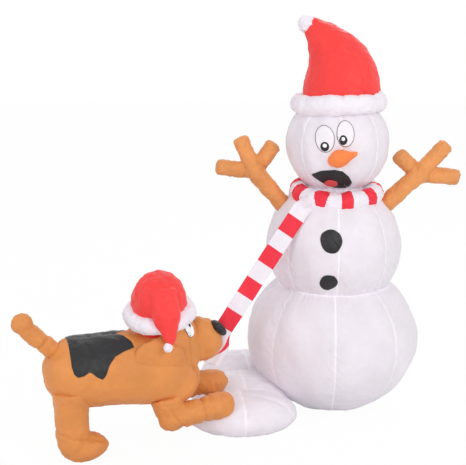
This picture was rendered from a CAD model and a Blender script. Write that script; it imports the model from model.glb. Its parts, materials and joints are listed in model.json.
import json
import math

import bmesh
import bpy
import numpy as np
from mathutils import Matrix, Vector, noise
from mathutils.bvhtree import BVHTree


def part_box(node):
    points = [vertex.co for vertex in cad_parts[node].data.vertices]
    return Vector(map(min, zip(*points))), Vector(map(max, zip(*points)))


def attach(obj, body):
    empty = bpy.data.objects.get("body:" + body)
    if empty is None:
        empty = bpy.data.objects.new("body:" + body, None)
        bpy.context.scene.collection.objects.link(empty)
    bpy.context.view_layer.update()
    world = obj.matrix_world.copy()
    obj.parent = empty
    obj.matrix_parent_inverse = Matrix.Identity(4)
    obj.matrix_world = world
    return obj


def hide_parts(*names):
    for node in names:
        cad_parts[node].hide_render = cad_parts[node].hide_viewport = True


# The looks of an air-blown yard snowman whose scarf is pulled by a puppy.
# Metres, the CAD frame: +Z up, the snowman faces -Y, the puppy stands on its -X side.
# Its places are written in the puppy's own frame, +X ahead, which DOG sets into the CAD frame.

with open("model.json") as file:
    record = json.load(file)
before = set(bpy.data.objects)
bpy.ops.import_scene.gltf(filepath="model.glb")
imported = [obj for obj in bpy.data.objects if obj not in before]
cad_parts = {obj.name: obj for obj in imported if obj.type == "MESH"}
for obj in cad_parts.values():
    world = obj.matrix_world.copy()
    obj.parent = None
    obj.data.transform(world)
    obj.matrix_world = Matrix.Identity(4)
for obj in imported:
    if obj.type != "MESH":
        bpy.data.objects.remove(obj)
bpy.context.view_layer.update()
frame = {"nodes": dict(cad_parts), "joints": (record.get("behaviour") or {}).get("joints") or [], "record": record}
CAMERA_PLACE = Vector((-0.378, -3.5, 1.45))
CAMERA_PITCH = math.radians(12.5)
FOCAL_PIXELS = 952
IMAGE_WIDTH = 466


# ------------------------------------------------------------------ places read from the frame
def middle(node):
    low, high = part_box(node)
    return (low + high) / 2


def half(node):
    low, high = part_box(node)
    return (high - low) / 2


BALL_RADIUS = half("lower_body").x
BALL_CENTRE = Vector((0, 0, 0.272))
BALL_HALF = 0.285
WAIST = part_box("lower_body")[1].z
TORSO_RADIUS = half("upper_body").x
TORSO_CENTRE = Vector((0, 0, 0.628))
TORSO_HALF = 0.250
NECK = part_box("upper_body")[1].z
HEAD_RADIUS = half("head").x
HEAD_CENTRE = Vector((middle("head").x, 0, 1.010))
HEAD_HALF = 0.185
FLOOR_GAP = 0.0006
DOG_YAW = math.radians(18)
DOG_RUMP = (0.020, 0, 0.295)
DOG_CHEST = (0.290, 0, 0.283)
DOG_RUMP_RADIUS = 0.121
DOG_CHEST_RADIUS = 0.129
DOG_TAIL_LENGTH = 0.128
DOG = Matrix.Translation((-0.919, -0.464, 0)) @ Matrix.Rotation(DOG_YAW, 4, "Z")
ROOT = "chambers"


# ------------------------------------------------------------------ materials
def new_material(name):
    material = bpy.data.materials.new(name)
    material.use_nodes = True
    return material, material.node_tree, material.node_tree.nodes["Principled BSDF"]


def add(tree, kind, **values):
    made = tree.nodes.new(kind)
    for key, value in values.items():
        if key in made.inputs:
            made.inputs[key].default_value = value
        else:
            setattr(made, key, value)
    return made


def noise_node(tree, coordinates, scale, detail=3.0, rough=0.5):
    made = add(tree, "ShaderNodeTexNoise")
    made.inputs["Scale"].default_value = scale
    made.inputs["Detail"].default_value = detail
    made.inputs["Roughness"].default_value = rough
    tree.links.new(coordinates, made.inputs["Vector"])
    return made.outputs["Fac"]


def ramp(tree, source, low, high, low_colour, high_colour):
    made = add(tree, "ShaderNodeValToRGB")
    made.color_ramp.elements[0].position = low
    made.color_ramp.elements[1].position = high
    made.color_ramp.elements[0].color = (*low_colour, 1)
    made.color_ramp.elements[1].color = (*high_colour, 1)
    tree.links.new(source, made.inputs["Fac"])
    return made.outputs["Color"]


def mix(tree, factor, first, second):
    """Blends two colours; a factor or a colour may be a socket or a value."""
    made = add(tree, "ShaderNodeMix", data_type="RGBA")
    for index, value in ((0, factor), (6, first), (7, second)):
        if isinstance(value, bpy.types.NodeSocket):
            tree.links.new(value, made.inputs[index])
        elif index == 0:
            made.inputs[index].default_value = value
        else:
            made.inputs[index].default_value = (*value, 1)
    return made.outputs[2]


def shade(colour, amount):
    return tuple(max(0.0, min(1.0, channel * amount)) for channel in colour)


def bumped(tree, height, strength, distance, after=None):
    made = add(tree, "ShaderNodeBump")
    made.inputs["Strength"].default_value = strength
    made.inputs["Distance"].default_value = distance
    tree.links.new(height, made.inputs["Height"])
    if after is not None:
        tree.links.new(after, made.inputs["Normal"])
    return made.outputs["Normal"]


def weave(tree, coordinates, thread):
    """Two crossed sets of fine threads."""
    parts = []
    for direction in ("X", "Z"):
        made = add(tree, "ShaderNodeTexWave", wave_type="BANDS", bands_direction=direction)
        made.inputs["Scale"].default_value = 0.314 / thread
        made.inputs["Distortion"].default_value = 0.4
        made.inputs["Detail"].default_value = 1.0
        tree.links.new(coordinates, made.inputs["Vector"])
        parts.append(made.outputs["Fac"])
    both = add(tree, "ShaderNodeMath", operation="ADD")
    tree.links.new(parts[0], both.inputs[0])
    tree.links.new(parts[1], both.inputs[1])
    return both.outputs[0]


def nylon(name, colour, seam=None, glow=0.0, rough=0.52, crumple=0.35, mottling=0.05):
    """Thin coated polyester: a fine weave, soft crumples, uneven colour, and paler or darker seams."""
    material, tree, shader = new_material(name)
    coordinates = add(tree, "ShaderNodeTexCoord").outputs["Object"]
    soft = noise_node(tree, coordinates, 7.0, 3.0)
    fine = noise_node(tree, coordinates, 60.0, 4.0, 0.6)
    base = ramp(tree, soft, 0.3, 0.7, shade(colour, 1 - mottling), shade(colour, 1 + mottling))
    base = mix(tree, ramp(tree, fine, 0.35, 0.75, (0, 0, 0), (0.25, 0.25, 0.25)), base,
               shade(colour, 0.9))
    if seam is not None:
        line = add(tree, "ShaderNodeAttribute", attribute_name="seam").outputs["Fac"]
        base = mix(tree, line, base, seam)
    tree.links.new(base, shader.inputs["Base Color"])
    shader.inputs["Sheen Weight"].default_value = 0.12
    shader.inputs["Sheen Roughness"].default_value = 0.4
    shader.inputs["Specular IOR Level"].default_value = 0.35
    rough_map = add(tree, "ShaderNodeMapRange")
    tree.links.new(fine, rough_map.inputs["Value"])
    rough_map.inputs["To Min"].default_value = rough - 0.08
    rough_map.inputs["To Max"].default_value = rough + 0.1
    tree.links.new(rough_map.outputs["Result"], shader.inputs["Roughness"])
    if glow:
        tree.links.new(base, shader.inputs["Emission Color"])
        shader.inputs["Emission Strength"].default_value = glow
    creases = noise_node(tree, coordinates, 22.0, 5.0, 0.62)
    normal = bumped(tree, creases, crumple, 0.006)
    normal = bumped(tree, weave(tree, coordinates, 0.0011), 0.18, 0.0004, normal)
    tree.links.new(normal, shader.inputs["Normal"])
    return material


def plush(name, colour):
    """The cuff fabric: thin white polyester with a soft, slightly woolly face."""
    material = nylon(name, colour, crumple=0.5, rough=0.7, mottling=0.04, glow=0.03)
    tree = material.node_tree
    shader = tree.nodes["Principled BSDF"]
    shader.inputs["Sheen Weight"].default_value = 0.35
    return material


def plastic(name, colour, rough=0.42):
    """Moulded plastic with a fine spark-eroded texture and rubbed high spots."""
    material, tree, shader = new_material(name)
    coordinates = add(tree, "ShaderNodeTexCoord").outputs["Object"]
    grain = noise_node(tree, coordinates, 900.0, 2.0)
    patches = noise_node(tree, coordinates, 25.0, 3.0)
    tree.links.new(ramp(tree, patches, 0.3, 0.7, shade(colour, 0.9), shade(colour, 1.15)),
                   shader.inputs["Base Color"])
    spread = add(tree, "ShaderNodeMapRange")
    tree.links.new(patches, spread.inputs["Value"])
    spread.inputs["To Min"].default_value = rough - 0.06
    spread.inputs["To Max"].default_value = rough + 0.12
    tree.links.new(spread.outputs["Result"], shader.inputs["Roughness"])
    tree.links.new(bumped(tree, grain, 0.25, 0.0003), shader.inputs["Normal"])
    return material


def metal(name, colour, rough=0.3):
    material = plastic(name, colour, rough)
    material.node_tree.nodes["Principled BSDF"].inputs["Metallic"].default_value = 0.9
    return material


WHITE = nylon("white_nylon", (0.745, 0.700, 0.760), seam=(0.93, 0.90, 0.95), glow=0.07, crumple=0.30)
DRIFT = nylon("drift_nylon", (0.76, 0.715, 0.775), seam=(0.90, 0.87, 0.92), glow=0.10, crumple=0.5)
RED = nylon("red_nylon", (0.86, 0.045, 0.042), seam=(0.80, 0.05, 0.045), glow=0.05, crumple=0.75)
TAN = nylon("tan_nylon", (0.69, 0.262, 0.068), seam=(0.60, 0.215, 0.052), glow=0.04, crumple=0.9,
            mottling=0.10)
TAN_ARM = nylon("tan_arm_nylon", (0.71, 0.285, 0.088), seam=(0.56, 0.20, 0.055), glow=0.03, crumple=1.0,
                mottling=0.14)
ORANGE = nylon("orange_nylon", (0.94, 0.245, 0.06), seam=(0.8, 0.2, 0.05), glow=0.05)
BLACK = nylon("black_nylon", (0.016, 0.016, 0.018), crumple=0.8, rough=0.4)
BLACK_INK = nylon("black_ink", (0.012, 0.011, 0.014), crumple=0.2)
EYE_WHITE = nylon("eye_white", (0.82, 0.785, 0.835), glow=0.05, crumple=0.15, mottling=0.02)
GLINT = nylon("eye_glint", (0.95, 0.95, 0.96), crumple=0.1, mottling=0.01)
TONGUE = nylon("tongue_red", (0.72, 0.075, 0.07), crumple=0.3)
CUFF = plush("plush_white", (0.84, 0.79, 0.86))
SCARF_RED = nylon("scarf_red", (0.80, 0.022, 0.048), glow=0.04, crumple=0.6)
SCARF_WHITE = nylon("scarf_white", (0.82, 0.77, 0.84), glow=0.03, crumple=0.6)


# ------------------------------------------------------------------ mesh helpers
def finish_mesh(name, mesh, materials, body=ROOT, replaces=()):
    """Links a mesh as a piece of the object, shaded smooth, riding on a body."""
    mesh.validate()
    working = bmesh.new()
    working.from_mesh(mesh)
    bmesh.ops.recalc_face_normals(working, faces=working.faces)
    working.to_mesh(mesh)
    working.free()
    mesh.polygons.foreach_set("use_smooth", [True] * len(mesh.polygons))
    piece = bpy.data.objects.new(name, mesh)
    for material in materials:
        mesh.materials.append(material)
    bpy.context.scene.collection.objects.link(piece)
    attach(piece, body)
    if replaces:
        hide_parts(*replaces)
    return piece


def skin(name, rings, closed=True, cap_first=True, cap_last=True):
    """A mesh over rings of points (rows, columns, 3); each end may be capped to its middle."""
    rings = np.asarray(rings, float)
    rows, columns = rings.shape[:2]
    vertices = [tuple(point) for ring in rings for point in ring]
    faces = []
    for row in range(rows - 1):
        for column in range(columns if closed else columns - 1):
            after = (column + 1) % columns
            faces.append((row * columns + column, row * columns + after,
                          (row + 1) * columns + after, (row + 1) * columns + column))
    for wanted, row in ((cap_first, 0), (cap_last, rows - 1)):
        if wanted:
            vertices.append(tuple(rings[row].mean(axis=0)))
            tip = len(vertices) - 1
            for column in range(columns):
                faces.append((row * columns + column, row * columns + (column + 1) % columns, tip))
    mesh = bpy.data.meshes.new(name)
    mesh.from_pydata(vertices, [], faces)
    return mesh


def point_attribute(mesh, name, values):
    layer = mesh.attributes.new(name, "FLOAT", "POINT")
    padded = np.zeros(len(mesh.vertices), np.float32)
    padded[:len(values)] = values
    layer.data.foreach_set("value", padded)


def ripple(values, scale, seed):
    """A smooth, irregular wave of about unit height along one coordinate."""
    random = np.random.default_rng(seed)
    total = np.zeros_like(values, dtype=float)
    for step in range(4):
        total += np.sin(values * scale * (0.7 + 0.45 * step) + random.uniform(0, 2 * math.pi))
    return total / 2.4


def coordinates_of(mesh):
    points = np.empty(len(mesh.vertices) * 3)
    mesh.vertices.foreach_get("co", points)
    return points.reshape(-1, 3)


def relief(mesh, amount, scale, seed=0, stretch=(1, 1, 1)):
    """Pushes every point along its normal by smooth noise, as slack fabric does."""
    points = coordinates_of(mesh)
    normals = np.empty(len(mesh.vertices) * 3)
    mesh.vertices.foreach_get("normal", normals)
    normals = normals.reshape(-1, 3)
    shift = np.array([noise.fractal(Vector(point * scale * np.array(stretch)) + Vector((seed * 7.1, 0, 0)),
                                    0.6, 2.1, 3) for point in points]) * amount
    points += normals * shift[:, None]
    mesh.vertices.foreach_set("co", points.ravel())
    mesh.update()


def seam_gap_angle(azimuth, gores, offset):
    """The angle from each azimuth to the nearest of the evenly spaced seams."""
    step = 2 * math.pi / gores
    return (azimuth - offset + step / 2) % step - step / 2


def gored(name, centre, radius, half_height, low, high, offset, rows, columns, low_pucker, high_pucker, seed,
          node):
    """An inflated ball of eight upright gores: it dips at each seam, and puckers where it is cinched."""
    bottom = math.asin(max(-1.0, (low - centre.z) / half_height))
    top = math.asin(min(1.0, (high - centre.z) / half_height))
    latitude = np.linspace(bottom, top, rows)[:, None]
    azimuth = np.linspace(0, 2 * math.pi, columns, endpoint=False)[None, :]
    away = seam_gap_angle(azimuth, 8, offset)
    height = centre.z + half_height * np.sin(latitude) + 0 * azimuth
    reach = radius * np.cos(latitude) + 0 * azimuth
    arc = away * reach
    crease = np.exp(-(arc / 0.0045) ** 2)
    valley = np.exp(-(arc / 0.03) ** 2)
    inward = 0.0022 * crease + 0.0045 * valley
    inward = inward + valley * 0.0013 * ripple(height + azimuth * 0.3, 260, seed)
    for edge, depth in ((low, low_pucker), (high, high_pucker)):
        if depth:
            near = np.exp(-np.abs(height - edge) / 0.028)
            inward = inward + depth * near * (0.55 + 0.45 * ripple(azimuth, 46, seed + 3))
    inward = inward - 0.0035 * ripple(azimuth * 3 + height * 4, 2.2, seed + 5)
    reach = np.maximum(reach - inward, 0.0005)
    points = np.stack([centre.x + reach * np.cos(azimuth), centre.y + reach * np.sin(azimuth),
                       np.maximum(height, FLOOR_GAP)], axis=-1)
    mesh = skin(name, points)
    joins = np.exp(-(np.abs(height - high) / 0.003) ** 2) + np.exp(-(np.abs(height - low) / 0.003) ** 2)
    point_attribute(mesh, "seam", np.maximum(np.exp(-(arc / 0.0026) ** 2), joins).ravel() * 0.85)
    mesh.update()
    relief(mesh, 0.0030, 9.0, seed)
    flatten_to_floor(mesh)
    return finish_mesh(name, mesh, [WHITE], ROOT, [node])


def flatten_to_floor(mesh):
    points = coordinates_of(mesh)
    points[:, 2] = np.maximum(points[:, 2], FLOOR_GAP)
    mesh.vertices.foreach_set("co", points.ravel())
    mesh.update()


def ellipsoid_part(working, centre, radii, matrix=None, turn=None):
    """Adds a closed ellipsoid to a bmesh."""
    place = Matrix.Translation(centre)
    if turn is not None:
        place = place @ turn
    place = place @ Matrix.Diagonal((*radii, 1))
    if matrix is not None:
        place = matrix @ place
    bmesh.ops.create_uvsphere(working, u_segments=40, v_segments=20, radius=1, matrix=place)


def tube_part(working, start, end, radius_start, radius_end, matrix=None):
    """Adds a closed straight tube between two points, narrowing from one radius to the other."""
    start, end = Vector(start), Vector(end)
    along = end - start
    place = Matrix.Translation((start + end) / 2) @ along.to_track_quat("Z", "Y").to_matrix().to_4x4()
    if matrix is not None:
        place = matrix @ place
    bmesh.ops.create_cone(working, cap_ends=True, segments=36, radius1=radius_start,
                          radius2=radius_end, depth=along.length, matrix=place)


def blown(name, parts, voxel, smooth, material, body=ROOT, replaces=(), slot=None, matrix=None,
          wrinkle=0.002, wrinkle_scale=18.0, seed=2, floor=False, seams=()):
    """An inflated shape: closed solids joined into one skin, smoothed, then wrinkled.
    parts holds ("ball", centre, radii[, turn]) and ("tube", start, end, radius, radius) entries;
    seams holds (point, normal, depth, reach): planes along which a sewn line dips into the skin."""
    working = bmesh.new()
    for part in parts:
        if part[0] == "ball":
            ellipsoid_part(working, Vector(part[1]), part[2], matrix, part[3] if len(part) > 3 else None)
        else:
            tube_part(working, part[1], part[2], part[3], part[4], matrix)
    mesh = bpy.data.meshes.new(name + "_rough")
    working.to_mesh(mesh)
    working.free()
    holder = bpy.data.objects.new(name + "_rough", mesh)
    bpy.context.scene.collection.objects.link(holder)
    remesh = holder.modifiers.new("skin", "REMESH")
    remesh.mode = "VOXEL"
    remesh.voxel_size = voxel
    relax = holder.modifiers.new("relax", "SMOOTH")
    relax.factor = 0.6
    relax.iterations = smooth
    bpy.context.view_layer.update()
    evaluated = holder.evaluated_get(bpy.context.evaluated_depsgraph_get())
    result = bpy.data.meshes.new_from_object(evaluated)
    result.name = name
    bpy.data.objects.remove(holder)
    bpy.data.meshes.remove(mesh)
    sew(result, seams, matrix)
    result.update()
    if wrinkle:
        relief(result, wrinkle, wrinkle_scale, seed)
    if floor:
        flatten_to_floor(result)
    return finish_mesh(name, result, [material], body, replaces)


def sew(mesh, seams, matrix):
    """Marks and sinks the sewn lines where planes cut a skin; each is limited to a ball about its point."""
    points = coordinates_of(mesh)
    marks = np.zeros(len(points))
    normals = np.empty(len(points) * 3)
    mesh.vertices.foreach_get("normal", normals)
    normals = normals.reshape(-1, 3)
    for point, normal, depth, reach in seams:
        point, normal = Vector(point), Vector(normal).normalized()
        if matrix is not None:
            normal = matrix.to_3x3() @ normal
            point = matrix @ point
        offset = points - np.array(point)
        distance = offset @ np.array(normal)
        near = np.exp(-(np.linalg.norm(offset, axis=1) / reach) ** 8)
        wave = 1 + 0.35 * ripple(points[:, 0] + points[:, 2] * 1.3 + points[:, 1], 150, 11)
        points -= normals * (depth * wave * near * np.exp(-(distance / 0.008) ** 2))[:, None]
        marks = np.maximum(marks, 0.8 * near * np.exp(-(distance / 0.0035) ** 2))
    mesh.vertices.foreach_set("co", points.ravel())
    point_attribute(mesh, "seam", marks)


def cuff(name, centre, radius, tube, turn, node, material, seed, lumps, matrix=None,
         squash_height=1.0, rows=44, columns=288, lump_depth=0.06):
    """A puffy ring sewn shut at several places, so it swells between them."""
    azimuth = np.linspace(0, 2 * math.pi, columns, endpoint=False)[:, None]
    around = np.linspace(0, 2 * math.pi, rows, endpoint=False)[None, :]
    gap = seam_gap_angle(azimuth, lumps, 0.2)
    pinch = np.exp(-(gap * radius / 0.012) ** 2)
    fat = tube * (1 - lump_depth * 1.2 * pinch + lump_depth * 0.7 * ripple(azimuth, 5.0, seed))
    fat = fat * (1 + 0.03 * ripple(azimuth * 1.0 + around * 0.35, 34, seed + 1) * (0.4 + pinch))
    reach = radius + fat * np.cos(around)
    height = squash_height * fat * np.sin(around) + 0.05 * tube * ripple(azimuth, 3.0, seed + 2)
    points = np.stack([reach * np.cos(azimuth), reach * np.sin(azimuth), height + 0 * azimuth], axis=-1)
    points = points @ np.array(turn).T + np.array(centre)
    if matrix is not None:
        points = points @ np.array(matrix.to_3x3()).T + np.array(matrix.translation)
    wrapped = np.concatenate([points, points[:1]], axis=0)
    mesh = skin(name, wrapped, closed=True, cap_first=False, cap_last=False)
    point_attribute(mesh, "seam", np.concatenate([pinch, pinch[:1]]).repeat(rows, axis=1).ravel() * 0.5)
    working = bmesh.new()
    working.from_mesh(mesh)
    bmesh.ops.remove_doubles(working, verts=working.verts, dist=1e-6)
    working.to_mesh(mesh)
    working.free()
    mesh.update()
    relief(mesh, tube * 0.09, 0.8 / tube, seed)
    relief(mesh, tube * 0.05, 3.0 / tube, seed + 5)
    return finish_mesh(name, mesh, [material], ROOT, [node])


def surface_of(piece):
    """A ray target over a piece's final mesh."""
    vertices = [piece.matrix_world @ vertex.co for vertex in piece.data.vertices]
    return BVHTree.FromPolygons(vertices, [list(polygon.vertices) for polygon in piece.data.polygons])


def applique(name, target, origin, outline, lift, thickness, material, look=(0, 1, 0), rings=9,
             count=64, replaces=(), dome=0.0):
    """A patch cut to an outline and laid on a chamber's wall, with its edge turned down to it.
    outline(angle) gives the edge's place from the middle; the patch is cast onto the wall along look."""
    look = Vector(look).normalized()
    side = look.cross(Vector((0, 0, 1))).normalized()
    rise = side.cross(look).normalized()
    angles = np.linspace(0, 2 * math.pi, count, endpoint=False)
    rows = []
    levels = [(step / rings, 0.0) for step in range(1, rings + 1)]
    levels += [(1.0, -thickness), (0.985, -thickness)]
    for share, drop in levels:
        ring = []
        for angle in angles:
            across, upward = outline(angle)
            start = Vector(origin) + side * across * share + rise * upward * share - look * 0.25
            hit, normal = target.ray_cast(start, look, 0.6)[:2]
            if hit is None:
                hit, normal = target.find_nearest(start + look * 0.25)[:2]
            if normal.dot(look) > 0:
                normal = -normal
            puff = dome * (1 - share ** 2) if drop == 0.0 else 0.0
            ring.append(hit + normal * (lift + thickness + drop + puff))
        rows.append([tuple(point) for point in ring])
    mesh = skin(name, np.array(rows), cap_first=True, cap_last=False)
    return finish_mesh(name, mesh, [material], ROOT, replaces)


def oval(width, height, turn=0.0, wobble=0.0, seed=0):
    """An oval outline of half width and half height, turned and slightly uneven."""
    def outline(angle):
        scale = 1 + wobble * math.sin(3 * angle + seed) + wobble * 0.6 * math.sin(5 * angle + 2.1 * seed)
        across, upward = width * scale * math.cos(angle), height * scale * math.sin(angle)
        return (across * math.cos(turn) - upward * math.sin(turn),
                across * math.sin(turn) + upward * math.cos(turn))
    return outline


# ------------------------------------------------------------------ the snowman's chambers
def snowballs():
    front = -math.pi / 2
    ball = gored("snow_ball", BALL_CENTRE, BALL_RADIUS, BALL_HALF, 0.0, WAIST, front - math.radians(3),
                 150, 384, 0.005, 0.005, 1, "lower_body")
    torso = gored("snow_torso", TORSO_CENTRE, TORSO_RADIUS, TORSO_HALF, WAIST, NECK,
                  front - math.radians(1), 130, 352, 0.005, 0.007, 2, "upper_body")
    head = gored("snow_head", HEAD_CENTRE, HEAD_RADIUS, HEAD_HALF, NECK, HEAD_CENTRE.z + HEAD_HALF,
                 front - math.radians(2), 120, 320, 0.008, 0.0, 3, "head")
    return ball, torso, head


def drift():
    """The snowdrift: three flattened lobes that press into each other and under the ball."""
    lobes = (("snowdrift_front", (-0.350, -0.262, 0.062), (0.206, 0.129, 0.077), 5),
             ("snowdrift_middle", (-0.345, -0.120, 0.066), (0.189, 0.150, 0.091), 6),
             ("snowdrift_rear", (-0.330, 0.110, 0.066), (0.184, 0.149, 0.091), 7))
    for name, centre, radii, seed in lobes:
        seams = [(centre, (0.25, 1, 0.0), 0.004, 0.4), (centre, (1, 0.15, 0.0), 0.003, 0.4)]
        blown(name + "_skin", [("ball", centre, radii)], 0.006, 3, DRIFT, replaces=[name],
              slot="white_nylon", wrinkle=0.005, wrinkle_scale=13, seed=seed, floor=True, seams=seams)


# ------------------------------------------------------------------ hats and scarf
def bend(keys, share):
    """Smooth interpolation through keys, each a tuple of numbers; share runs from 0 to 1."""
    keys = np.asarray(keys, float)
    spot = share * (len(keys) - 1)
    index = min(int(spot), len(keys) - 2)
    t = spot - index
    before, after = keys[max(index - 1, 0)], keys[min(index + 2, len(keys) - 1)]
    first, second = keys[index], keys[index + 1]
    return 0.5 * ((2 * first) + (second - before) * t
                  + (2 * before - 5 * first + 4 * second - after) * t * t
                  + (3 * first - before - 3 * second + after) * t ** 3)


def stocking_cap():
    """The red cap rises from the cuff, leans to -X and ends in a pompom.
    Each key is a ring: its place in x and z from the cuff, its two half widths, and its lean."""
    base = middle("hat_brim")
    keys = [(0.006, 0.000, 0.136, 0.136, 0), (0.009, 0.030, 0.141, 0.140, 0),
            (0.008, 0.070, 0.137, 0.134, 3), (0.004, 0.112, 0.126, 0.122, 8),
            (-0.010, 0.152, 0.108, 0.104, 16),
            (-0.034, 0.188, 0.087, 0.086, 28), (-0.062, 0.222, 0.066, 0.064, 40),
            (-0.090, 0.250, 0.046, 0.044, 50), (-0.113, 0.272, 0.031, 0.027, 58)]
    azimuth = np.linspace(0, 2 * math.pi, 224, endpoint=False)
    rings, marks = [], []
    for share in np.linspace(0, 1, 96):
        x, z, wide, deep, lean = bend(keys, share)
        seam = np.exp(-(seam_gap_angle(azimuth, 4, 0.5) * wide / 0.004) ** 2)
        folds = 0.030 * np.exp(-((share - 0.62) / 0.22) ** 2) * ripple(azimuth + 2.2 * share, 3.0, 9)
        small = 0.012 * ripple(azimuth + 5 * share, 9.0, 12) * (0.3 + share)
        cinch = -0.03 * math.exp(-share / 0.05) * (0.5 + 0.5 * ripple(azimuth, 40, 13))
        scale = 1 + folds + small + cinch - 0.02 * seam
        tilt = math.radians(lean)
        across = wide * scale * np.cos(azimuth)
        points = np.stack([base.x + x + across * math.cos(tilt), deep * scale * np.sin(azimuth),
                           base.z + 0.008 + z + across * math.sin(tilt)], axis=-1)
        rings.append(points)
        marks.append(0.6 * seam)
    mesh = skin("stocking_cap", np.array(rings))
    point_attribute(mesh, "seam", np.array(marks).ravel())
    mesh.update()
    relief(mesh, 0.004, 14.0, 8, (1, 1, 0.7))
    finish_mesh("stocking_cap", mesh, [RED], replaces=["hat_cone"])
    tilt = Matrix.Rotation(math.radians(-2), 3, "Y")
    cuff("cap_cuff", base, 0.141, 0.034, tilt, "hat_brim", CUFF, seed=5, lumps=7,
         squash_height=1.06)
    pompom("cap_pompom", middle("hat_pompom"), half("hat_pompom").x, "hat_pompom", 15)


def pompom(name, centre, radius, node, seed):
    """A small ball gathered at one point, with soft lumps."""
    piece = blown(name, [("ball", centre, (radius * 0.97,) * 3)], radius / 14, 1, CUFF, replaces=[node],
                  slot="plush_white", wrinkle=radius * 0.16, wrinkle_scale=1.6 / radius, seed=seed)


# The collar's red bands: the azimuth of each from the front, and its half widths at top and bottom.
COLLAR_BANDS = [(-68, 13, 11), (-25, 11, 2.5), (9, 7.5, 7), (48, 11, 6), (86, 7, 7), (122, 10, 10),
                (158, 10, 10), (194, 10, 10), (228, 10, 10), (260, 9, 9)]
COLLAR_CENTRE = Vector((0.004, -0.012, 0.832))
COLLAR_RADIUS = 0.134
COLLAR_TUBE = 0.038
COLLAR_TILT = math.radians(7.5)


def scarf_collar():
    """The scarf wound round the neck, a loose padded band that hangs lower in front."""
    tilt = Matrix.Rotation(COLLAR_TILT, 3, "X")
    piece = cuff("scarf_wrap", COLLAR_CENTRE, COLLAR_RADIUS, COLLAR_TUBE, tilt, "scarf_collar",
                 SCARF_WHITE, seed=21, lumps=6, lump_depth=0.08, columns=480, rows=56)
    piece.data.materials.append(SCARF_RED)
    for polygon in piece.data.polygons:
        spot = polygon.center - COLLAR_CENTRE
        azimuth = math.degrees(math.atan2(spot.x, -spot.y))
        above = spot.z + 0.131 * math.cos(math.radians(azimuth)) * 0.13
        level = min(1.0, max(0.0, above / COLLAR_TUBE / 2 + 0.5))
        for centre, top, bottom in COLLAR_BANDS:
            away = abs((azimuth - centre + 180) % 360 - 180)
            if away < bottom + (top - bottom) * level:
                polygon.material_index = 1


# The scarf's loose end: stations along it, and the direction across it at each.
SCARF_STATIONS = [((-0.080, -0.129, 0.822), (-0.81, -0.10, 0.58)),
                  ((-0.133, -0.187, 0.805), (-0.81, -0.10, 0.58)),
                  ((-0.417, -0.299, 0.382), (-0.81, -0.10, 0.58)),
                  ((-0.422, -0.315, 0.324), (-0.90, -0.20, 0.35)),
                  ((-0.456, -0.325, 0.264), (-0.85, -0.30, 0.42))]
SCARF_WIDTH = 0.067
SCARF_HALF_THICKNESS = 0.0011
FIRST_RED, RED_PITCH, RED_HALF = 0.1554, 0.1317, 0.0335


def between(values, reach, s):
    """The place on a path of points at a length s along it."""
    return np.array([np.interp(s, reach, [value[axis] for value in values]) for axis in range(3)])


def scarf_strip():
    """The taut end of the scarf, from the collar past the puppy's muzzle; red and white squares."""
    spots = [np.array(spot) for spot, across in SCARF_STATIONS]
    sides = [np.array(across) / np.linalg.norm(across) for spot, across in SCARF_STATIONS]
    reach = np.concatenate([[0], np.cumsum([np.linalg.norm(b - a) for a, b in zip(spots, spots[1:])])])
    steps, lanes = 420, 32
    rings, marks = [], []
    for row in range(steps + 1):
        s = reach[-1] * row / steps
        window = np.linspace(max(0, s - 0.014), min(reach[-1], s + 0.014), 7)
        spot = np.mean([between(spots, reach, w) for w in window], axis=0)
        side = np.mean([between(sides, reach, w) for w in window], axis=0)
        ahead = min(s + 0.01, reach[-1])
        behind = ahead - 0.02
        facing = np.cross(between(spots, reach, ahead) - between(spots, reach, behind), side)
        facing /= np.linalg.norm(facing)
        slack = max(0.0, min(1.0, (0.12 - s) / 0.06)) + max(0.0, min(1.0, (s - 0.60) / 0.05))
        width = SCARF_WIDTH * (0.985 + 0.012 * math.sin(s * 31))
        line, back = [], []
        for lane in range(lanes + 1):
            share = lane / lanes - 0.5
            fold = 0.0012 * math.sin(share * 7 + s * 9) + 0.0010 * math.sin(s * 61 + share * 5)
            fold += 0.0035 * slack * math.sin(share * 11 + 1.0) + 0.0018 * (2 * share) ** 2
            heart = spot + side * share * width + facing * fold
            line.append(tuple(heart + facing * SCARF_HALF_THICKNESS))
            back.append(tuple(heart - facing * SCARF_HALF_THICKNESS))
        rings.append(line + back[::-1])
        marks.append(s)
    mesh = skin("scarf_strip", np.array(rings))
    piece = finish_mesh("scarf_strip", mesh, [SCARF_WHITE, SCARF_RED], replaces=["scarf_tail"])
    count = 2 * (lanes + 1)
    for polygon in piece.data.polygons:
        row, column = divmod(min(polygon.vertices), count)
        s = marks[min(row, steps)]
        lane = column if column <= lanes else count - 1 - column
        wedge = (1 - lane / lanes - 0.42) / 0.55
        away = abs((s - FIRST_RED + RED_PITCH / 2) % RED_PITCH - RED_PITCH / 2)
        square = away < RED_HALF and 0.1 < s < 0.6
        corner = wedge > 0 and 0.690 - 0.095 * wedge < s < 0.690 - 0.050 * wedge
        polygon.material_index = int(square or corner)


# ------------------------------------------------------------------ the snowman's arms
def polar(start, angle, length):
    """The point at a length from start, in the XZ plane, at an angle in degrees from +Z."""
    turn = math.radians(angle)
    return Vector((start.x + length * math.sin(turn), start.y, start.z + length * math.cos(turn)))


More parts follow.
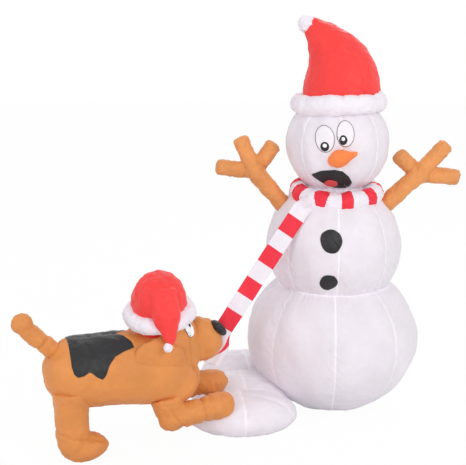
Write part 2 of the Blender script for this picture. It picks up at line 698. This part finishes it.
def arms():
    """Each stick arm is a tube with three twigs that cross it, their ends sewn flat."""
    for name, side, lean, twigs in (("left_arm", -1, 40, ((24, 0.135), (-37, 0.124), (85, 0.141))),
                                    ("right_arm", 1, 46, ((42, 0.149), (-47, 0.110), (95, 0.154)))):
        root = Vector(next(j["pos_m"] for j in frame["joints"] if j["name"] == name + "_sway"))
        palm = polar(root, side * lean, 0.155)
        before = palm + Vector((0, -0.007, 0))
        behind = palm + Vector((0, 0.006, 0))
        parts = [("ball", root, (0.0330,) * 3), ("tube", root, before, 0.0325, 0.0330)]
        seams = []
        for index, (angle, length) in enumerate(twigs):
            start = before if index == 0 else behind
            tip = polar(start, side * angle, length - 0.008)
            parts.append(("tube", start, tip, 0.0320, 0.0290))
            turn = Matrix.Rotation(math.radians(side * angle), 4, "Y")
            parts.append(("ball", tip, (0.0290, 0.022, 0.0125), turn))
            if index:
                spot = polar(start, side * angle, 0.036)
                seams.append((spot, polar(Vector((0, 0, 0)), side * angle, 1), 0.0022, 0.040))
        blown(name + "_skin", parts, 0.0036, 2, TAN_ARM, name, [name], "tan_nylon",
              wrinkle=0.0036, wrinkle_scale=26, seed=30 + side, seams=seams)


# ------------------------------------------------------------------ the snowman's face and buttons
# The mouth's sewn outline, from its middle.
MOUTH = np.array([(-0.072, 0.021), (-0.040, 0.037), (0.006, 0.043), (0.035, 0.037), (0.059, 0.017),
                  (0.074, -0.008), (0.069, -0.024), (0.052, -0.032), (0.022, -0.033), (-0.008, -0.025),
                  (-0.040, -0.005), (-0.062, 0.010)])


def mouth(angle):
    bearings = np.unwrap(np.arctan2(MOUTH[:, 1], MOUTH[:, 0])) % (2 * math.pi)
    order = np.argsort(bearings)
    return tuple(np.interp(angle % (2 * math.pi), bearings[order], MOUTH[order][:, axis], period=2 * math.pi)
                 for axis in (0, 1))


def face(head, torso):
    """The printed eyes and the sewn mouth, tongue and buttons, each cast onto its chamber."""
    wall = surface_of(head)
    edge = 0.0018
    for name, spot, size, pupil, tilt in (
            ("left_eye", (-0.056, 0, 1.048), (0.033, 0.047), (0.000, -0.026), 0.08),
            ("right_eye", (0.015, 0, 1.066), (0.031, 0.045), (-0.008, -0.021), 0.02)):
        applique(name + "_outline", wall, spot, oval(size[0], size[1], tilt), 0.0003, 0.0007, BLACK_INK,
                 replaces=[name])
        applique(name + "_white", wall, spot, oval(size[0] - edge, size[1] - edge, tilt), 0.0011, 0.0005,
                 EYE_WHITE)
        at = (spot[0] + pupil[0], 0, spot[2] + pupil[1])
        applique(name + "_pupil", wall, at, oval(0.0145, 0.0165), 0.0017, 0.0005, BLACK_INK)
        shine = (at[0], 0, at[2] + 0.0035)
        applique(name + "_glint", wall, shine, oval(0.0068, 0.0068), 0.0023, 0.0004, GLINT)
    applique("mouth_patch", wall, (-0.026, 0, 0.896), mouth, 0.0004, 0.001, BLACK,
             replaces=["mouth"], rings=14, count=96)
    applique("tongue_patch", wall, (-0.026, 0, 0.884), oval(0.023, 0.0140, -0.10), 0.0016, 0.001, TONGUE,
             replaces=["tongue"])
    body = surface_of(torso)
    for name, spot, outline, dome in (
            ("button_upper", (-0.032, 0, 0.694), oval(0.038, 0.041, 0.3, 0.02, 1), 0.005),
            ("button_lower", (-0.038, 0, 0.543), oval(0.032, 0.030, 0.2, 0.025, 2), 0.004)):
        applique(name + "_patch", body, spot, outline, 0.0006, 0.001, BLACK, replaces=[name],
                 rings=14, dome=dome)
    carrot()


def carrot():
    """The carrot swells from its seam, then narrows to a blunt tip that turns up a little."""
    foot, tip = Vector((-0.022, -0.160, 0.974)), Vector((0.046, -0.272, 1.004))
    along = (tip - foot).normalized()
    side = along.cross(Vector((0, 0, 1))).normalized()
    up = side.cross(along)
    length = 0.128
    keys = [(0.0290, 0), (0.0320, 0), (0.0305, 0.000), (0.0245, 0.000), (0.0175, 0.002), (0.0120, 0.004),
            (0.0078, 0.006)]
    azimuth = np.linspace(0, 2 * math.pi, 64, endpoint=False)
    rings, marks = [], []
    for share in np.linspace(0, 1, 60):
        radius, lift = bend(keys, share)
        scale = radius * (1 + 0.03 * ripple(azimuth + 8 * share, 4.0, 41))
        seam = np.exp(-(seam_gap_angle(azimuth, 2, 1.9) * radius / 0.002) ** 2)
        scale = scale - 0.0012 * seam
        centre = foot + along * (length * share) + up * lift
        rings.append([tuple(centre + side * r * math.cos(a) + up * r * math.sin(a))
                      for a, r in zip(azimuth, scale)])
        marks.append(0.7 * seam)
    mesh = skin("carrot", np.array(rings))
    point_attribute(mesh, "seam", np.array(marks).ravel())
    mesh.update()
    relief(mesh, 0.0012, 40, 42)
    finish_mesh("carrot", mesh, [ORANGE], replaces=["carrot_nose"])


# ------------------------------------------------------------------ the puppy
def puppy_part(name, parts, voxel, smooth, node, wrinkle, wrinkle_scale, seed, material=TAN,
               slot="tan_nylon", body=ROOT, **more):
    """An inflated piece of the puppy, with its places in the puppy's own frame."""
    nodes = [node] if isinstance(node, str) else node
    return blown(name, parts, voxel, smooth, material, body, nodes, slot, DOG, wrinkle=wrinkle,
                 wrinkle_scale=wrinkle_scale, seed=seed, **more)


def puppy():
    trunk = puppy_part("puppy_trunk",
                       [("tube", DOG_RUMP, DOG_CHEST, DOG_RUMP_RADIUS, DOG_CHEST_RADIUS),
                        ("ball", DOG_RUMP, (DOG_RUMP_RADIUS,) * 3),
                        ("ball", DOG_CHEST, (DOG_CHEST_RADIUS,) * 3),
                        ("ball", (0.334, 0, 0.236), (0.110, 0.106, 0.098))],
                       0.0065, 4, "dog_body", 0.005, 11, 51,
                       seams=[((0.14, 0, 0.290), (0, 1, 0.0), 0.003, 0.6),
                              ((0.405, -0.05, 0.235), (0.25, 1, 0.15), 0.005, 0.09)])
    head = puppy_part("puppy_head",
                      [("ball", (0.333, 0, 0.366), (0.098, 0.104, 0.102)),
                       ("ball", (0.362, 0, 0.335), (0.090, 0.098, 0.092)),
                       ("ball", (0.385, 0, 0.395), (0.052, 0.078, 0.056)),
                       ("tube", (0.300, 0, 0.270), (0.333, 0, 0.360), 0.088, 0.094)],
                      0.006, 5, "dog_head", 0.004, 16, 52,
                      seams=[((0.392, 0, 0.366), (1, 0, 0), 0.004, 0.14)])
    puppy_part("puppy_muzzle",
               [("ball", (0.462, 0, 0.362), (0.064, 0.061, 0.076)),
                ("ball", (0.444, 0, 0.386), (0.048, 0.056, 0.060)),
                ("ball", (0.430, 0, 0.352), (0.048, 0.062, 0.072))],
               0.005, 4, "dog_muzzle", 0.004, 20, 53, seams=[((0.462, 0, 0.37), (0, 1, 0), 0.003, 0.2)])
    slant = Matrix.Rotation(math.radians(48), 4, "Y")
    puppy_part("puppy_nose", [("ball", (0.508, -0.022, 0.406), (0.036, 0.029, 0.018), slant)],
               0.003, 3, "dog_nose", 0.002, 40, 54, BLACK, "black_nylon")
    for side, name in ((-1, "right"), (1, "left")):
        flap = Matrix.Rotation(math.radians(side * -6), 4, "X")
        puppy_part("puppy_ear_" + name,
                   [("ball", (0.272, side * 0.098, 0.352), (0.082, 0.024, 0.064), flap),
                    ("ball", (0.300, side * 0.100, 0.342), (0.070, 0.024, 0.056), flap)],
                   0.0045, 4, "dog_ear_" + name, 0.0045, 20, 55 + side)
    puppy_eyes(head)
    puppy_legs()
    puppy_hat()
    puppy_tail()
    saddle(trunk)


def puppy_eyes(head):
    wall = surface_of(head)
    for side, name in ((-1, "right"), (1, "left")):
        piece = "puppy_eye_" + name
        spot = DOG @ Vector((0.394, side * 0.066, 0.431))
        look = DOG.to_3x3() @ Vector((-0.30, side * -0.95, -0.10))
        applique(piece + "_outline", wall, spot, oval(0.0190, 0.0325), 0.0006, 0.0008, BLACK_INK,
                 look, replaces=["dog_eye_" + name], dome=0.006)
        applique(piece + "_white", wall, spot, oval(0.0178, 0.0313), 0.0016, 0.0005, GLINT, look,
                 dome=0.006)
        ahead = look.cross(Vector((0, 0, 1))).normalized() * (-side * 0.004)
        at = spot + Vector((0, 0, 0.004)) + ahead
        applique(piece + "_pupil", wall, at, oval(0.0052, 0.0085), 0.0085, 0.0008, BLACK_INK,
                 look)
        applique(piece + "_glint", wall, at + Vector((0, 0, 0.003)), oval(0.0018, 0.0022), 0.0098, 0.0003,
                 GLINT, look)


def puppy_legs():
    for side, name, step, toe in ((-1, "right", -0.014, 0.034), (1, "left", -0.004, 0.006)):
        across = side * 0.055
        puppy_part("puppy_hind_leg_" + name,
                   [("tube", (step, across, 0.060), (step - 0.004, across, 0.250), 0.055, 0.060),
                    ("ball", (step + toe, across, 0.047), (0.050 + toe, 0.054, 0.050)),
                    ("ball", (step, across, 0.070), (0.056, 0.053, 0.062))],
                   0.005, 4, "dog_hind_leg_" + name, 0.005, 17, 60 + side, floor=True,
                   seams=[((step, across, 0.098), (0.3, 0, 1), 0.004, 0.12)])
    for name, shoulder, elbow, paw, seed in (
            ("right", (0.306, -0.058, 0.190), (0.322, -0.070, 0.114), (0.510, -0.050, 0.131), 63),
            ("left", (0.300, 0.060, 0.230), (0.330, 0.070, 0.168), (0.520, 0.074, 0.170), 64)):
        bent, end = Vector(elbow), Vector(paw)
        wrist = bent.lerp(end, 0.60)
        puppy_part("puppy_foreleg_" + name,
                   [("tube", shoulder, elbow, 0.058, 0.044), ("ball", elbow, (0.047, 0.044, 0.044)),
                    ("tube", elbow, paw, 0.043, 0.043), ("ball", wrist.lerp(end, 0.7), (0.058, 0.047, 0.048)),
                    ("ball", paw, (0.049, 0.047, 0.046))],
                   0.005, 4, "dog_foreleg_" + name, 0.0055, 19, seed,
                   seams=[(wrist, end - bent, 0.006, 0.08),
                          (bent.lerp(end, 0.10), (0.8, 0, 0.5), 0.003, 0.08)])


def puppy_hat():
    tilt = Matrix.Rotation(math.radians(13.4), 3, Vector((2, -1, 0)))
    cuff("puppy_cuff", Vector((0.304, 0, 0.476)), 0.096, 0.030, tilt, "dog_hat_brim", CUFF,
         seed=71, lumps=6, matrix=DOG)
    end = Vector((0.306, -0.146, 0.412))
    puppy_part("puppy_cap",
               [("ball", (0.304, 0, 0.496), (0.098, 0.098, 0.128)),
                ("ball", (0.304, -0.030, 0.520), (0.086, 0.078, 0.086)),
                ("tube", (0.298, -0.062, 0.560), (0.301, -0.112, 0.490), 0.050, 0.047),
                ("tube", (0.301, -0.112, 0.490), end, 0.047, 0.014),
                ("ball", end, (0.012, 0.010, 0.014))],
               0.0045, 4, ["dog_hat_cap", "dog_hat_tail"], 0.006, 15, 72, RED, "red_nylon")
    pompom("puppy_pompom", middle("dog_hat_pompom"), 0.0158, "dog_hat_pompom", 74)


def puppy_tail():
    """The tail rises from 45 degrees up the rump's back, and its end is the thickest part."""
    reach = (DOG_RUMP_RADIUS + 0.006) * math.sqrt(0.5)
    root = Vector((DOG_RUMP[0] - reach, 0, DOG_RUMP[2] + reach))
    tip = polar(root, -45, DOG_TAIL_LENGTH)
    bend_at = root.lerp(tip, 0.55) + Vector((0.003, 0, -0.006))
    puppy_part("puppy_tail_skin",
               [("ball", root, (0.031,) * 3), ("tube", root, bend_at, 0.031, 0.030),
                ("tube", bend_at, tip, 0.030, 0.031),
                ("ball", tip + Vector((0.002, 0, 0.003)), (0.036, 0.033, 0.036))],
               0.004, 3, "dog_tail", 0.004, 24, 81, body="dog_tail",
               seams=[(root.lerp(tip, 0.30), tip - root, 0.003, 0.06)])


# The saddle patch: places along the back, with the angle down from the ridge of its two edges.
SADDLE_LOWER = [(-0.017, 60), (-0.011, 72), (0.000, 77), (0.019, 76), (0.038, 71), (0.045, 72), (0.063, 80),
                (0.080, 84), (0.091, 79), (0.105, 64), (0.129, 51), (0.161, 44), (0.196, 39)]
SADDLE_UPPER = [(-0.017, 0), (0.148, 0), (0.172, 12), (0.192, 28), (0.196, 38)]


def saddle(trunk):
    """The dark patch over the puppy's back, hanging in lobes down both sides."""
    wall = surface_of(trunk)
    turn = DOG.to_3x3()
    working = bmesh.new()
    for side in (-1, 1):
        columns = []
        for x in np.linspace(SADDLE_LOWER[0][0], SADDLE_LOWER[-1][0], 120):
            lower = np.interp(x, *zip(*SADDLE_LOWER))
            upper = np.interp(x, *zip(*SADDLE_UPPER))
            column = []
            for angle in np.radians(np.linspace(upper, lower, 40)):
                out = Vector((0, side * math.sin(angle), math.cos(angle)))
                start = DOG @ (Vector((x, 0, 0.29)) + out * 0.25)
                hit = wall.ray_cast(start, turn @ -out, 0.3)[0]
                column.append(working.verts.new(hit + (turn @ out) * 0.0016))
            columns.append(column)
        for left, right in zip(columns, columns[1:]):
            for row in range(len(left) - 1):
                working.faces.new((left[row], right[row], right[row + 1], left[row + 1]))
    bmesh.ops.remove_doubles(working, verts=working.verts, dist=0.0002)
    mesh = bpy.data.meshes.new("saddle_patch")
    working.to_mesh(mesh)
    working.free()
    finish_mesh("saddle_patch", mesh, [BLACK], replaces=["dog_saddle_patch"])


# ------------------------------------------------------------------ hard parts keep their CAD shape
def hard_parts():
    finishes = {
        "black_plastic": plastic("housing_plastic", (0.03, 0.03, 0.033)),
        "grey_plastic": plastic("impeller_plastic", (0.12, 0.12, 0.13)),
        "motor_steel": metal("motor_can", (0.35, 0.35, 0.37), 0.35),
        "screw_steel": metal("screw_zinc", (0.62, 0.62, 0.64), 0.3),
        "zip_metal": metal("zip_die_cast", (0.6, 0.6, 0.62), 0.28),
        "zip_coil": plastic("zip_coil_nylon", (0.75, 0.74, 0.78), 0.5),
        "zip_nylon": nylon("zip_tape_nylon", (0.72, 0.70, 0.75), crumple=0.2),
        "lamp_lens": plastic("lamp_cover", (0.85, 0.87, 0.9), 0.3),
    }
    for entry in frame["record"]["subparts"]:
        shown = frame["nodes"][entry["node"]]
        finish = finishes.get(entry["material_slot"])
        if finish is not None and not shown.hide_render:
            shown.data.materials.clear()
            shown.data.materials.append(finish)


# ------------------------------------------------------------------ studio
def studio():
    floor_mesh = bpy.data.meshes.new("floor")
    reach = 14
    corners = [(-reach, -reach, 0), (reach, -reach, 0), (reach, reach, 0), (-reach, reach, 0)]
    floor_mesh.from_pydata(corners, [], [(0, 1, 2, 3)])
    floor = bpy.data.objects.new("floor", floor_mesh)
    bpy.context.scene.collection.objects.link(floor)
    material, tree, shader = new_material("floor_paper")
    shader.inputs["Base Color"].default_value = (0.86, 0.86, 0.86, 1)
    shader.inputs["Roughness"].default_value = 0.9
    white = add(tree, "ShaderNodeEmission")
    white.inputs["Strength"].default_value = 1.0
    share = add(tree, "ShaderNodeMixShader")
    path = add(tree, "ShaderNodeLightPath")
    keep = add(tree, "ShaderNodeMath", operation="MULTIPLY")
    keep.inputs[1].default_value = 0.97
    tree.links.new(path.outputs["Is Camera Ray"], keep.inputs[0])
    tree.links.new(keep.outputs[0], share.inputs["Fac"])
    tree.links.new(shader.outputs["BSDF"], share.inputs[1])
    tree.links.new(white.outputs["Emission"], share.inputs[2])
    tree.links.new(share.outputs[0], tree.nodes["Material Output"].inputs["Surface"])
    floor_mesh.materials.append(material)

    world = bpy.data.worlds.new("studio")
    bpy.context.scene.world = world
    world.use_nodes = True
    nodes, links = world.node_tree.nodes, world.node_tree.links
    background = nodes["Background"]
    path = nodes.new("ShaderNodeLightPath")
    seen = nodes.new("ShaderNodeMath")
    seen.operation = "MAXIMUM"
    links.new(path.outputs["Is Camera Ray"], seen.inputs[0])
    links.new(path.outputs["Is Glossy Ray"], seen.inputs[1])
    strength = nodes.new("ShaderNodeMapRange")
    strength.inputs["To Min"].default_value = 0.74
    strength.inputs["To Max"].default_value = 1.0
    links.new(seen.outputs[0], strength.inputs["Value"])
    background.inputs["Color"].default_value = (1, 1, 1, 1)
    links.new(strength.outputs["Result"], background.inputs["Strength"])

    for name, place, size, power, colour in (
            ("key", (1.9, -3.2, 2.6), 1.8, 52, (1.0, 0.99, 0.97)),
            ("fill", (-2.8, -2.6, 1.9), 2.2, 26, (1.0, 0.95, 0.99)),
            ("back", (0.6, 2.6, 2.6), 1.6, 22, (1, 1, 1))):
        lamp = bpy.data.lights.new(name, "AREA")
        lamp.size = size
        lamp.energy = power
        lamp.color = colour
        holder = bpy.data.objects.new(name, lamp)
        holder.location = place
        holder.rotation_euler = (Vector((-0.3, 0, 0.7)) - Vector(place)).to_track_quat("-Z", "Y").to_euler()
        bpy.context.scene.collection.objects.link(holder)


def camera():
    lens = bpy.data.cameras.new("camera")
    lens.sensor_width = 36
    lens.lens = 36 * FOCAL_PIXELS / IMAGE_WIDTH
    holder = bpy.data.objects.new("camera", lens)
    holder.location = CAMERA_PLACE
    holder.rotation_euler = (math.pi / 2 - CAMERA_PITCH, 0, 0)
    bpy.context.scene.collection.objects.link(holder)
    bpy.context.scene.camera = holder
    bpy.context.scene.view_settings.view_transform = "Standard"


camera()
studio()
ball_piece, torso_piece, head_piece = snowballs()
drift()
stocking_cap()
scarf_collar()
scarf_strip()
arms()
face(head_piece, torso_piece)
puppy()
hard_parts()
